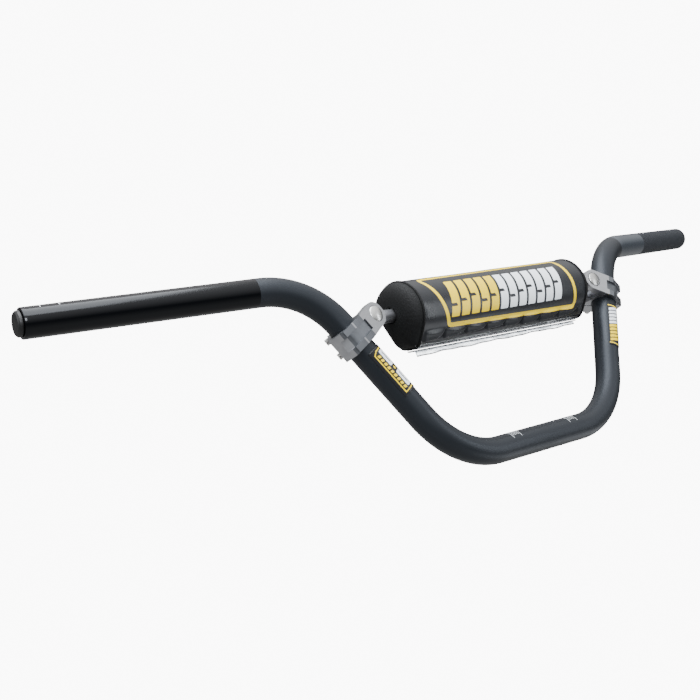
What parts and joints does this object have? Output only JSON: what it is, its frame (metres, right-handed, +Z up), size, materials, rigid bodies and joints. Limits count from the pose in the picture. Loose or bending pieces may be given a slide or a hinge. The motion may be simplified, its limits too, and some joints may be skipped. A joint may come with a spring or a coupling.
{
  "type": "handlebar",
  "caption": "Braced motorcycle handlebar: bent tube with knurled and glossy grip ends, clevis clamps on its risers, pinned crossbar and a strapped cylindrical pad.",
  "frame": {"origin": "middle of the tube's centre section, on the tube's axis", "axes": "+X to the clutch side along the centre section, +Y towards the rider, +Z up"},
  "size_m": [0.8132, 0.1501, 0.1568],
  "materials": {
    "anodised_tube": "black anodised, satin",
    "moulded_plugs": "black moulded",
    "cast_clamps": "satin cast and machined",
    "plated_fasteners": "bright plated",
    "drawn_crossbar": "drawn, natural",
    "closed_cell_foam": "black closed-cell foam",
    "printed_vinyl": "glossy coated cloth with a printed pattern",
    "end_fabric": "grained, matt",
    "loop_tape": "looped pile",
    "hook_tape": "moulded hooks on woven tape",
    "clear_vinyl": "clear flexible sheet",
    "printed_film": "printed and laminated"
  },
  "bodies": {
    "bar": {"handlebar_tube": "anodised_tube", "riser_decal_throttle_side": "printed_film", "riser_decal_clutch_side": "printed_film", "clamp_yoke_throttle_side": "cast_clamps", "clamp_yoke_clutch_side": "cast_clamps", "crossbar_tube": "drawn_crossbar", "crossbar_eye_throttle_side": "cast_clamps", "crossbar_eye_clutch_side": "cast_clamps"},
    "pad": {"pad_foam": "closed_cell_foam", "pad_cover": "printed_vinyl", "pad_end_panel_throttle_side": "end_fabric", "pad_end_panel_clutch_side": "end_fabric", "pad_loop_tape": "loop_tape", "pad_hook_tape": "hook_tape", "pad_closure_flap": "clear_vinyl"},
    "cap_throttle_side": {"clamp_cap_throttle_side": "cast_clamps", "clamp_cap_screw_throttle_side_1": "plated_fasteners", "clamp_cap_screw_throttle_side_2": "plated_fasteners"},
    "sleeve_throttle_side": {"pivot_sleeve_throttle_side": "plated_fasteners"},
    "screw_throttle_side": {"pivot_screw_throttle_side": "plated_fasteners"},
    "plug_throttle_side": {"bar_end_plug_throttle_side": "moulded_plugs"},
    "cap_clutch_side": {"clamp_cap_clutch_side": "cast_clamps", "clamp_cap_screw_clutch_side_1": "plated_fasteners", "clamp_cap_screw_clutch_side_2": "plated_fasteners"},
    "sleeve_clutch_side": {"pivot_sleeve_clutch_side": "plated_fasteners"},
    "screw_clutch_side": {"pivot_screw_clutch_side": "plated_fasteners"},
    "plug_clutch_side": {"bar_end_plug_clutch_side": "moulded_plugs"}
  },
  "joints": [
    {"name": "pad_turn", "type": "hinge", "parent": "bar", "child": "pad", "pos_m": [0, 0.0625, 0.10781], "axis": [1, 0, 0], "continuous": true},
    {"name": "cap_release_throttle_side", "type": "slide", "parent": "bar", "child": "cap_throttle_side", "axis": [-0.6167, 0.4383, -0.6539], "range_m": [0, 0.03]},
    {"name": "sleeve_withdraw_throttle_side", "type": "slide", "parent": "bar", "child": "sleeve_throttle_side", "axis": [0, -0.8652, 0.5015], "range_m": [0, 0.035]},
    {"name": "screw_withdraw_throttle_side", "type": "slide", "parent": "bar", "child": "screw_throttle_side", "axis": [0, 0.8652, -0.5015], "range_m": [0, 0.02]},
    {"name": "plug_withdraw_throttle_side", "type": "slide", "parent": "bar", "child": "plug_throttle_side", "axis": [-0.9732, 0.226, -0.0418], "range_m": [0, 0.025]},
    {"name": "cap_release_clutch_side", "type": "slide", "parent": "bar", "child": "cap_clutch_side", "axis": [0.6167, 0.4383, -0.6539], "range_m": [0, 0.03]},
    {"name": "sleeve_withdraw_clutch_side", "type": "slide", "parent": "bar", "child": "sleeve_clutch_side", "axis": [0, -0.8652, 0.5015], "range_m": [0, 0.035]},
    {"name": "screw_withdraw_clutch_side", "type": "slide", "parent": "bar", "child": "screw_clutch_side", "axis": [0, 0.8652, -0.5015], "range_m": [0, 0.02]},
    {"name": "plug_withdraw_clutch_side", "type": "slide", "parent": "bar", "child": "plug_clutch_side", "axis": [0.9732, 0.226, -0.0418], "range_m": [0, 0.025]}
  ]
}
